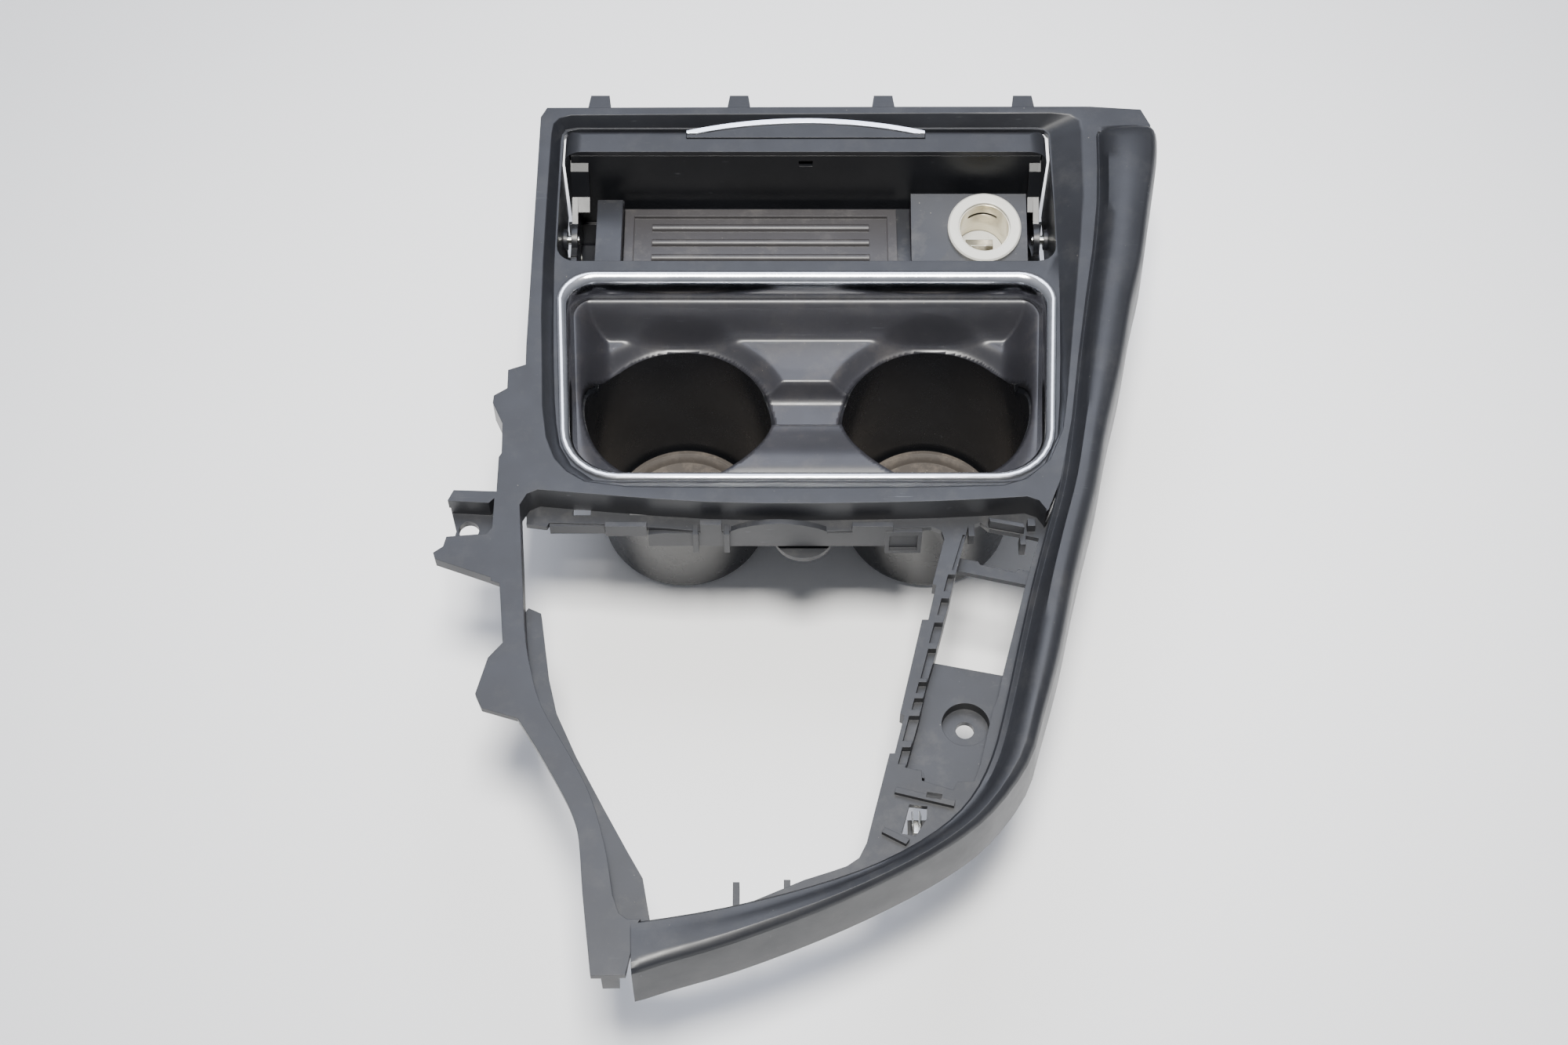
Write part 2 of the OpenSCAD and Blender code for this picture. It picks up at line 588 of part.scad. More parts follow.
module socket_insulator() {
  color("ivory") at_origin() socket_place() translate([0, 0, -socket_length + 0.6]) difference() {
    cylinder(d = socket_bore_d + 0.6, h = 4.2, $fn = 64);
    for (x = [-5.5, 5.5]) translate([x - 0.6, -3.1, -1]) cube([1.2, 6.2, 3.4]);
  }
}

module socket_terminals() {
  color("silver") at_origin() socket_place() for (x = [-5.5, 5.5])
    translate([x - 0.4, -3, -socket_length - 9]) cube([0.8, 6, 11.9]);
}

// Lid, drawn open; closed lies 90 degrees towards the rear.
// Children are drawn closed, about the hinge axis, with +Y to the front.
module lid_place() {
  translate([0, hinge_y, hinge_z]) rotate([-90, 0, 0]) children();
}

// Side profile of the lid's outer shell, in Y and Z about the hinge.
function lid_profile(o) = concat(
  [[-lid_rise + o, lid_rise - lid_thick]],
  arc([-lid_rise + 3, lid_rise - 3], 3 - o, 180, 90, 5),
  arc([lid_rise - 5, lid_rise - 4.5], 4.5 - o, 90, 0, 5),
  [[lid_rise - 0.5 - o, lid_rise - 7]]
);

module lid_side(w, p) {
  rotate([90, 0, 90]) translate([0, 0, -w]) linear_extrude(2 * w) polygon(p);
}

module lid_panel() {
  o = 2.4;
  color("dimgray") at_origin() lid_place() difference() {
    intersection() {
      lid_side(lid_half, lid_profile(0));
      translate([0, 0, -5]) linear_extrude(60) polygon(concat(
        arc([-(lid_half - 8), 8 - lid_rise], 8, 180, 270, 6), arc([lid_half - 8, 8 - lid_rise], 8, 270, 360, 6),
        arc([lid_half - 8, lid_rise - 8.5], 8, 0, 90, 6), arc([-(lid_half - 8), lid_rise - 8.5], 8, 90, 180, 6)
      ));
    }
    difference() {
      lid_side(lid_half - o, concat(
        [[-lid_rise + o, 0]], [[-lid_rise + o, lid_rise - 4]], [[-lid_rise + 4, lid_rise - o]],
        [[lid_rise - 6, lid_rise - o]], [[lid_rise - 0.5 - o, lid_rise - 5]], [[lid_rise - 0.5 - o, 0]]
      ));
      for (x = [-60, -20, 20, 60]) translate([x - 0.8, -40, lid_rise - 5]) cube([1.6, 80, 5]);
    }
    // Seat of the grip in the rear edge.
    grip_solid(0.15);
  }
}

// Arched body of the grip on the lid's rear edge.
module grip_solid(gap) {
  r = (pow(grip_half, 2) + pow(grip_rise + 2, 2)) / (2 * (grip_rise + 2));
  translate([0, -lid_rise - 0.6, 0]) rotate([-90, 0, 0]) linear_extrude(1.6 + gap) difference() {
    intersection() {
      translate([0, -(lid_rise + grip_rise) + r]) circle(r = r + gap, $fn = 200);
      translate([-grip_half - gap, -(lid_rise + grip_rise + 5)]) square([2 * grip_half + 2 * gap, 13 + grip_rise + gap]);
    }
    translate([-100, -(lid_rise - 5) + gap]) square([200, 30]);
  }
}

module lid_grip() {
  r = (pow(grip_half, 2) + pow(grip_rise + 2, 2)) / (2 * (grip_rise + 2));
  color("black") at_origin() lid_place() difference() {
    grip_solid(0);
    trim_cut(0.1);
  }
}

// Narrow arched strip along the grip's upper edge.
module trim_cut(gap) {
  r = (pow(grip_half, 2) + pow(grip_rise + 2, 2)) / (2 * (grip_rise + 2));
  translate([0, -lid_rise - 1.2, 0]) rotate([-90, 0, 0]) linear_extrude(1.3 + gap) difference() {
    translate([0, -(lid_rise + grip_rise) + r]) circle(r = r + 0.3, $fn = 200);
    translate([0, -(lid_rise + grip_rise) + r + 2.2 + gap]) circle(r = r, $fn = 200);
    translate([-400, -(lid_rise - 3)]) square([800, 800]);
    for (s = [-1, 1]) translate([s * (grip_half + 200) - 200, -(lid_rise + 30)]) square([400, 60]);
  }
}

module handle_trim() {
  color("silver") at_origin() lid_place() trim_cut(0);
}

gear_teeth = 28;
pinion_teeth = 10;
gear_module = 1;
damper_gap = gear_module * (gear_teeth + pinion_teeth) / 2 + 0.15;
damper_y = hinge_y;
damper_z = hinge_z - damper_gap;

// Plan of a spur gear with straight-flanked teeth.
function gear_points(n, m, slack) = [
  for (i = [0:n - 1]) for (q = [[-0.5, -1.25], [-0.3, -1.15], [-0.25, 0], [-0.13, 0.85], [0.13, 0.85], [0.25, 0], [0.3, -1.15]])
    let(r = m * (n / 2 + q[1]), a = 360 / n * (i + q[0]) - sign(q[0]) * slack / m / n * 115) [r * cos(a), r * sin(a)]
];

// Inner panel with the two necks that carry the lid on its pins.
module lid_frame() {
  inner = lid_rise - lid_thick;
  color("darkslategray") at_origin() lid_place() difference() {
    union() {
      translate([-lid_half + 3, -lid_rise + 2.7, inner]) cube([2 * lid_half - 6, 2 * lid_rise - 6.2, 2]);
      for (x = [-80, -40, 0, 40, 80]) translate([x - 4, -20, inner]) cube([8, 40, lid_thick - 2.4 - seat]);
      for (s = [-1, 1]) translate([s * neck_x, 0, 0]) rotate([90, 0, 90]) translate([0, 0, -1.3]) linear_extrude(2.6) {
        polygon(concat(
          [[-27, inner + 1], [-24, inner - 3], [-12, inner - 7], [-6, 4]], arc([0, 0], 7, 150, 330, 12),
          [[9, 2], [17, 12], [22, inner - 1], [24, inner + 1]]
        ));
      }
      // Webs that stiffen the necks.
      for (x = [[-neck_x, 6.4], [neck_x - 3.7, 3.7]]) translate([x[0], 0, 0]) rotate([90, 0, 90]) linear_extrude(x[1]) polygon([
        [-26.6, inner + 0.4], [-24, inner - 3], [-12, inner - 7], [-8.4, 8.4], [-6.8, 9.4], [-10.6, inner - 5.2],
        [-22.6, inner - 1], [-24.4, inner + 0.6]
      ]);
      // Toothed sector on the left neck, which turns the damper.
      translate([-neck_x, 0, 0]) rotate([90, 0, 90]) translate([0, 0, -1.3]) linear_extrude(2.6) intersection() {
        rotate(-90) polygon(gear_points(gear_teeth, gear_module, 0.12));
        polygon(concat([[0, 0]], arc([0, 0], 20, 250, 380, 12)));
      }
    }
    for (s = [-1, 1]) translate([s * neck_x, 0, 0]) rotate([0, 90, 0]) cylinder(d = pin_d + 0.1, h = 10, center = true);
    translate([-3, -lid_rise + 6, inner - 1]) cube([6, 3.6, 4]);
  }
}

module hinge_pin() {
  rotate([0, 90, 0]) cylinder(d = pin_d, h = side_in + tray_wall - pin_in);
}

module left_hinge_pin() {
  color("silver") at_origin() translate([-pin_in, hinge_y, hinge_z]) rotate([0, 0, 180]) hinge_pin();
}

module right_hinge_pin() {
  color("silver") at_origin() translate([pin_in, hinge_y, hinge_z]) hinge_pin();
}

// Round damper on the left cheek; its pinion meshes with the lid's sector.
module damper_body() {
  color("black") at_origin() translate([0, damper_y, damper_z]) difference() {
    union() {
      translate([-side_in, 0, 0]) rotate([0, 90, 0]) cylinder(d = 9, h = 2.2);
      translate([-side_in - tray_wall, 0, 0]) rotate([0, 90, 0]) cylinder(d = 3, h = tray_wall + 1);
      translate([-102.5, 0, 0]) rotate([0, 90, 0]) cylinder(d = 2, h = 4.4);
    }
  }
}

module damper_gear() {
  color("ivory") at_origin() translate([-neck_x, damper_y, damper_z]) rotate([90, 0, 90]) translate([0, 0, -1.2]) difference() {
    linear_extrude(2.4) rotate(90 + 180 / pinion_teeth) polygon(gear_points(pinion_teeth, gear_module, 0.12));
    translate([0, 0, -1]) cylinder(d = 2.1, h = 6);
  }
}

// Carrier frame.
carrier_top = wall_low - 0.08;
plate_z = panel_z - plate_drop;
plate_hole = [58.9, -144.2];

// Free edge of the front flange, and the rail that runs on from it to the rear.
flange_edge = [
  [-110, -58.6], [-110, -61.2], [-102, -62.4], [-101, -60.4], [-79.5, -61.2], [-62.4, -62.4], [-44.7, -63.9], [7.8, -64.2],
  [33.5, -63.4], [48.3, -62.4], [52.1, -64.1], [53.1, -67.7]
];
rail_left = [
  [47.8, -88.3], [49.2, -88.8], [45.7, -104], [43.3, -104], [33.9, -144.3], [35.4, -145.1], [31.5, -160.7], [29.6, -160.7],
  [20.5, -196.7], [17.7, -202.5], [13.2, -205.7], [7.5, -207.8]
];
rail_right = [[61, -64], [54.4, -93.7], [48.4, -116.7], [44.4, -130.2], [40.9, -146], [35.2, -166.4]];
bay_right = [[89.9, -67.6], [83.2, -90.1], [72.8, -128.4], [70.8, -137.2], [68.6, -142.4], [63, -164.9], [60.3, -172.2]];
bay_rear = [[60.3, -172.2], [54.1, -172.2], [52.6, -175.6], [41.2, -171.8], [41.3, -168], [35.2, -166.4]];

// Wall of width t along a line, drawn to the side given by d.
module wall_along(line, d, low, high) {
  translate([0, 0, low]) linear_extrude(high - low) polygon(concat(
    line, [for (i = [len(line) - 1:-1:0]) line[i] + d]
  ));
}

// Upright plate across the front flange; z gives the plate's upper edge.
module front_plate(x0, x1, low, edge) {
  translate([0, -62.2, 0]) rotate([90, 0, 0]) linear_extrude(2.2) polygon(concat([[x1, low], [x0, low]], edge));
}

module carrier_frame() {
  t = carrier_wall;
  color("dimgray") at_origin() difference() {
    union() {
      // Flange, rail and rear platform in one level.
      translate([0, 0, carrier_top - t]) linear_extrude(t) difference() {
        polygon(concat(
          [
            [-112, -49], [97, -49], [95.8, -62], [93.6, -70], [86.8, -94], [80.3, -120], [73.8, -147], [67.6, -168.6],
            [58.9, -185.8], [46, -198.9], [36, -205], [25.8, -211], [0, -220.6], [-30, -228.6], [-56, -233.2], [-66, -231.6],
            [-66, -229], [-45, -226], [-20, -219], [-2, -211]
          ],
          [for (i = [len(rail_left) - 1:-1:0]) rail_left[i]],
          [for (i = [len(flange_edge) - 1:-1:0]) flange_edge[i]]
        ));
        polygon(concat(
          [[62.6, -62.2], [67.6, -60.4], [70.6, -63.3], [84.2, -66.2]], bay_right,
          [for (i = [1:len(bay_rear) - 1]) bay_rear[i]], [for (i = [len(rail_right) - 2:-1:1]) rail_right[i]]
        ));
        for (x = [-92, -70, 60]) translate([x, -57]) square([7, 4]);
      }
      // Rail block with its row of pockets.
      translate([0, 0, carrier_top - 7]) linear_extrude(6.5) polygon(concat(
        [[52.5, -70]], [for (i = [0:7]) rail_left[i]], [for (i = [len(rail_right) - 1:-1:1]) rail_right[i]], [[60, -68]]
      ));
      // Walls round the bay.
      wall_along(rail_right, [-2.2, -0.4], plate_z, carrier_top - 1);
      wall_along(bay_right, [2.4, -0.4], plate_z, carrier_top - 1);
      wall_along([[61.6, -172.2], [54.1, -172.2], [52.6, -175.6], [41.2, -171.8]], [0.3, -2.2], plate_z, carrier_top - 1);
      wall_along([[41.3, -172.6], [41.3, -167]], [-2.2, 0.2], plate_z, carrier_top - 1);
      wall_along([[42, -168.2], [34, -166.1]], [0.3, -2.2], plate_z, carrier_top - 1);
      // Screw plate with its sunk seat.
      translate([0, 0, plate_z]) linear_extrude(t) polygon([
        [46.6, -117.8], [75, -123.7], [73, -137], [69.6, -146], [64.4, -166], [61, -173.6], [52.6, -177], [41, -173.4], [34.2, -168],
        [39.4, -147], [43, -131]
      ]);
      translate([plate_hole[0], plate_hole[1], plate_z - 5]) cylinder(d = 22, h = 6);
      // Cross-bar of the bay, and the small tabs at its front.
      translate([0, 0, plate_z + 0.6]) linear_extrude(t) polygon([
        [58.2, -71.4], [66.6, -73.1], [67.3, -74.5], [70.4, -75.4], [80.7, -78.1], [82.3, -76.7], [88, -78.1], [86.8, -84.2],
        [57, -77]
      ]);
      translate([0, 0, carrier_top - 2]) linear_extrude(7) polygon([[70.8, -62.9], [84, -65.7], [83.6, -63.9], [70.4, -61.1]]);
      translate([82.6, -70.4, carrier_top - 8]) cube([2.2, 5.4, 8]);
      translate([62.6, -66.6, carrier_top - 6]) cube([2.4, 5.4, 6]);
      translate([85.4, -64.6, carrier_top - 0.6]) cube([3, 3.4, 5]);
      // Wall below the front flange, with its arch, tabs, legs and box.
      front_plate(-62.4, 31, carrier_top - 11, [[-62.4, 94], [-56, 95], [31, 95]]);
      translate([-101, -61.8, carrier_top - 6]) cube([21.5, 2, 5.4]);
      front_plate(-30.4, 7.6, 90, [
        [-30.4, 96.3], [-26.5, 98.8], [-21.5, 100.6], [-16, 101.8], [-11, 102], [-6.5, 101.7], [-2, 100.8], [3.8, 98.6], [7.6, 96.3]
      ]);
      front_plate(-79, -62.8, 93, [[-79, 100], [-62.8, 100]]);
      front_plate(17.3, 33.2, 93, [[17.3, 100], [33.2, 100]]);
      front_plate(-42, -33.6, 86, [[-42, 101.4], [-33.6, 101.4]]);
      for (x = [-45, -32.8]) translate([x, -66.2, carrier_top - 13]) cube([2.2, 4.6, 13.4]);
      difference() {
        translate([30.4, -64.6, carrier_top - 16]) cube([14.3, 7, 15.6]);
        translate([32, -65, carrier_top - 14.4]) cube([11.1, 2, 11.6]);
      }
      // Boss and foot of the front screw.
      translate([front_screw_at[0], front_screw_at[1], front_screw_z]) cylinder(d = 13, h = carrier_top - front_screw_z - 1);
      intersection() {
        translate([-1.6, -55.6, 79.6]) cylinder(d = 24.6, h = 2.4);
        translate([-20, -70, 79]) cube([40, 17, 4]);
      }
      translate([-12, -56, 81]) cube([20, 2.4, 15]);
      // Flange under the left rail.
      translate([0, 0, wall_low - t]) linear_extrude(t) polygon(concat(
        [for (p = rail_inner) if (p[1] < -98) [p[0] - 2, p[1]]],
        [[-66, -229], [-56.5, -228], [-59.8, -210.5], [-65.7, -200], [-74.9, -183], [-85.8, -162.3], [-93.9, -144.4],
         [-97.6, -129.5], [-102, -101.4], [-107, -99]]
      ));
      // Ribs on the rear platform, with the shelf of the spring clip below it.
      translate([0, 0, carrier_top - 0.6]) linear_extrude(2.6) polygon([
        [31.6, -175.2], [40.6, -177.6], [53, -180.8], [52.4, -183], [40, -179.8], [31, -177.4]
      ]);
      translate([0, 0, carrier_top - 0.6]) linear_extrude(2.6) polygon([[27, -191.2], [36, -196], [34.6, -198], [26, -193.2]]);
      translate([0, 0, plate_z - 1]) linear_extrude(carrier_top - plate_z) polygon([
        [43.2, -182.2], [46.2, -182], [46.6, -194], [43.6, -194]
      ]);
      translate([36, -192, plate_z - 1]) cube([9, 9, 2.4]);
      // Hooks on the rear bar.
      for (h = [[-27.6, -223, 11.3], [-9.4, -216.8, 6]]) translate([h[0], h[1], carrier_top - 8]) cube([2.4, h[2], 7.6]);
    }
    for (q = [[54, -84, 7.4], [51.1, -94.6, 7.4], [48, -105.3, 8.9], [45.3, -116.7, 12.7], [41.3, -131, 4.6], [39.5, -137.8, 4.8],
              [37.3, -145.2, 10.4], [34.4, -158.2, 6.8]])
      translate([0, 0, carrier_top - 3.4]) linear_extrude(5) polygon([
        [q[0], q[1]], [q[0] + 12, q[1]], [q[0] + 12 - q[2] * 0.26, q[1] - q[2]], [q[0] - q[2] * 0.26, q[1] - q[2]]
      ]);
    translate([0, 0, carrier_top - 1.4]) linear_extrude(5) polygon([[60.4, -66], [61.2, -66], [56.4, -82], [55.6, -82]]);
    translate([0, 0, carrier_top - 8]) linear_extrude(12) polygon([[43, -176.4], [48.5, -177.3], [47.8, -180.3], [42.4, -179.4]]);
    translate([0, 0, carrier_top - 8]) linear_extrude(12) polygon([
      [36.4, -181.4], [42.8, -182.2], [42.6, -186.9], [38.3, -193.9], [33.2, -193]
    ]);
    translate([plate_hole[0], plate_hole[1], plate_z - 2.4]) cylinder(d = 18, h = 20);
    translate([plate_hole[0], plate_hole[1], plate_z - 10]) cylinder(d = plate_hole_d, h = 30);
    translate([front_screw_at[0], front_screw_at[1], front_screw_z - 1]) cylinder(d = 3.2, h = 12);
  }
}

front_screw_at = [-3, -54.5];
front_screw_z = 70;

module front_screw() {
  color("black") at_origin() translate([front_screw_at[0], front_screw_at[1], front_screw_z]) {
    translate([0, 0, -2.2]) cylinder(d = 8, h = 2.2);
    translate([0, 0, -eps]) cylinder(d = 3, h = 10);
  }
}

module housing_screws() {
  color("black") at_origin() for (p = boss_points) translate([p[0], p[1], boss_low - seat - 3]) {
    translate([0, 0, -2]) cylinder(d = 7, h = 2);
    translate([0, 0, -eps]) cylinder(d = 3, h = 11);
  }
}

// Bent sheet clip on the shelf below the rear platform.
module rear_spring_clip() {
  color("silver") at_origin() translate([39, -186, plate_z + 1.45]) rotate([90, 0, 0]) linear_extrude(5, center = true) polygon([
    [-1.2, 0], [1.4, 0], [2, 5], [1.2, 9], [0.6, 9.2], [1.4, 5], [1, 0.6], [-0.8, 0.6], [-0.9, 5], [-1.4, 8.6], [-1.9, 8.4],
    [-1.5, 5]
  ]);
}

trim_panel();
carrier_frame();
chrome_surround();
cup_basin();
cup_housing();
left_cup_mat();
right_cup_mat();
storage_tray();
tray_mat();
socket_shell();
socket_ring();
socket_contact();
socket_insulator();
socket_terminals();
lid_panel();
lid_frame();
lid_grip();
handle_trim();
left_hinge_pin();
right_hinge_pin();
damper_body();
damper_gear();
housing_screws();
front_screw();
rear_spring_clip();
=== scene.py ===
"""Looks of a car's cup holder panel: moulded grey trim, a bright surround, two deep cups, a ribbed tray
with a power socket, and a lid that swings shut over it. Lengths are in metres where they aren't
multiplied by mm, and the origin is under the middle of the part."""

import json
import math

import bmesh
import bpy
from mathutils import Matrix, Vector


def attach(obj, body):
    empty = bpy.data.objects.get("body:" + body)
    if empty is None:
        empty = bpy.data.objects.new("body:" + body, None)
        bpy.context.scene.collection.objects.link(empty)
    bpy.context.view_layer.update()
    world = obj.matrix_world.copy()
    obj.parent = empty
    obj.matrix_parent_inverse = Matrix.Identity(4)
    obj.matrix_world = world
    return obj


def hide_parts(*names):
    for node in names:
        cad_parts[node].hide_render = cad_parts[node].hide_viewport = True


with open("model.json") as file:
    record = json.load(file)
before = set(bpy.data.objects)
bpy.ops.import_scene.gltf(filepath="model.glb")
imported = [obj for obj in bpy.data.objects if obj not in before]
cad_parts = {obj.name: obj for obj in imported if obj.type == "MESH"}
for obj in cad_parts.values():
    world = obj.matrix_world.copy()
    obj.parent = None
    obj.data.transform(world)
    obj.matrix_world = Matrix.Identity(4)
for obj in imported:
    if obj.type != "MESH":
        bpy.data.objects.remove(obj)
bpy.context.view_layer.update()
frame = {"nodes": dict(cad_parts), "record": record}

# Camera: a full-frame camera above the part's rear edge. It looks down on the part, tilted 32 degrees
# away from straight down, with a lens of about 55 mm.

eye = bpy.data.cameras.new("camera")
eye.lens = 54.9
eye.sensor_width = 36.0
camera = bpy.data.objects.new("camera", eye)
bpy.context.collection.objects.link(camera)
camera.location = (-0.01324, -0.50668, 0.8892)
camera.rotation_euler = (math.radians(32), 0, 0)
bpy.context.scene.camera = camera

# Table: a white laminate board, pressed smooth and matt. Its colour is painted brightest under the part's
# far half, a painted pool of light, and falls off to a painted pale grey shade towards its edges.


def paint(code):
    """Turns a colour code into linear colour."""
    parts = [int(code[i:i + 2], 16) / 255 for i in (1, 3, 5)]
    return [c / 12.92 if c <= 0.04045 else ((c + 0.055) / 1.055) ** 2.4 for c in parts] + [1.0]


def put(tree, kind, inputs=None, out=0, **settings):
    """Adds a shader node with its settings, its input values and its links, and gives one output."""
    made = tree.nodes.new(kind)
    for key, value in settings.items():
        setattr(made, key, value)
    for key, value in (inputs or {}).items():
        if isinstance(value, bpy.types.NodeSocket):
            tree.links.new(value, made.inputs[key])
        else:
            made.inputs[key].default_value = value
    return made.outputs[out]


table_half = 2.5
table_gap = 0.0003
# Where the painted pool of light sits, and the distances over which it fades into painted shade.
painted_light_spot = (0.03, 0.14, 0)
painted_light_reach, painted_shade_reach = 0.1, 0.6

board = bmesh.new()
bmesh.ops.create_grid(board, x_segments=1, y_segments=1, size=table_half)
table_mesh = bpy.data.meshes.new("table")
board.to_mesh(table_mesh)
board.free()
table = bpy.data.objects.new("table", table_mesh)
table.location = (0, 0, -table_gap)
bpy.context.collection.objects.link(table)

laminate = bpy.data.materials.new("white_laminate")
laminate.use_nodes = True
tree = laminate.node_tree
shader = tree.nodes["Principled BSDF"]
# Painted pool of light: near white round the spot, fading to a painted pale grey shade farther out.
where = put(tree, "ShaderNodeTexCoord", out="Object")
off = put(tree, "ShaderNodeVectorMath", {0: where, 1: painted_light_spot}, operation="SUBTRACT")
span = put(tree, "ShaderNodeVectorMath", {0: off}, "Value", operation="LENGTH")
painted_falloff = put(tree, "ShaderNodeMapRange", {0: span, 1: painted_light_reach, 2: painted_shade_reach},
           interpolation_type="SMOOTHSTEP")
tone = put(tree, "ShaderNodeMix", {0: painted_falloff, 6: paint("#f8f8f8"), 7: paint("#c9cacc")}, 2,
           data_type="RGBA")
tree.links.new(tone, shader.inputs["Base Color"])
shader.inputs["Roughness"].default_value = 0.6
shader.inputs["Specular IOR Level"].default_value = 0.25
table_mesh.materials.append(laminate)

# Light: a small soft lamp above the part's rear, which casts the shadows, and a large soft box over its
# far side, which the flat tops mirror. The room is pale above and greyer at the height of the table.

room = bpy.data.worlds.new("room")
room.use_nodes = True
bpy.context.scene.world = room
tree = room.node_tree
height = put(tree, "ShaderNodeSeparateXYZ", {0: put(tree, "ShaderNodeTexCoord", out="Generated")}, 2)
share = put(tree, "ShaderNodeMapRange", {0: height, 1: -0.1, 2: 0.8})
walls = put(tree, "ShaderNodeMix", {0: share, 6: paint("#85888c"), 7: paint("#f2f5ff")}, 2,
            data_type="RGBA")
tree.links.new(walls, tree.nodes["Background"].inputs["Color"])
# Glossy faces mirror the room a little dimmer than it lights them.
lit, seen = 0.52, 0.5
mirrored = put(tree, "ShaderNodeLightPath", out="Is Glossy Ray")
strength = put(tree, "ShaderNodeMapRange", {0: mirrored, 3: lit, 4: seen})
tree.links.new(strength, tree.nodes["Background"].inputs["Strength"])

# Each lamp: its place, what it faces, its width and length, its power in watts and its tint.
for name, spot, aim, width, length, watts, tint in (
        ("key", (0.0, -0.42, 1.6), (0, 0, 0.05), 0.3, 0.3, 56.0, "#fffdf8"),
        ("soft_box", (0.0, 1.15, 1.9), (0, 1.15, 0), 1.3, 1.7, 36.0, "#e6edff")):
    light = bpy.data.lights.new(name, "AREA")
    light.shape = "RECTANGLE"
    light.size, light.size_y = width, length
    light.energy = watts
    light.color = paint(tint)[:3]
    lamp = bpy.data.objects.new(name, light)
    lamp.location = spot
    lamp.rotation_euler = (Vector(aim) - Vector(spot)).to_track_quat("-Z", "Y").to_euler()
    bpy.context.collection.objects.link(lamp)

# Trim panel: one injection moulding of ABS with a soft matt coat, screwed to the console by its tab. The
# mould's edges are eased and the bolster is drawn smooth, so the piece is a welded copy of its frame
# shape with smooth curves and crisp corners.

mm = 0.001
nodes = frame["nodes"]
groups = frame["record"]["behaviour"]["bodies"]
bodies = {node: body for body, names in groups.items() for node in names}


def smooth_copy(node, *looks, crease=34, even=True):
    """Stands for a node with a welded copy whose faces turn smoothly up to the crease, in degrees."""
    mesh = nodes[node].data.copy()
    work = bmesh.new()
    work.from_mesh(mesh)
    bmesh.ops.remove_doubles(work, verts=work.verts, dist=0.004 * mm)
    bmesh.ops.dissolve_degenerate(work, edges=work.edges, dist=0.002 * mm)
    for face in work.faces:
        face.smooth = True
        face.material_index = 0
    work.to_mesh(mesh)
    work.free()
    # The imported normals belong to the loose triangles, so they go.
    if "custom_normal" in mesh.attributes:
        mesh.attributes.remove(mesh.attributes["custom_normal"])
    mesh.set_sharp_from_angle(angle=math.radians(crease))
    mesh.materials.clear()
    for look in looks:
        mesh.materials.append(look)
    piece = bpy.data.objects.new(node + "_skin", mesh)
    bpy.context.collection.objects.link(piece)
    if even:
        piece.modifiers.new("even", "WEIGHTED_NORMAL").keep_sharp = True
    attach(piece, bodies[node])
    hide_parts(node)
    return piece


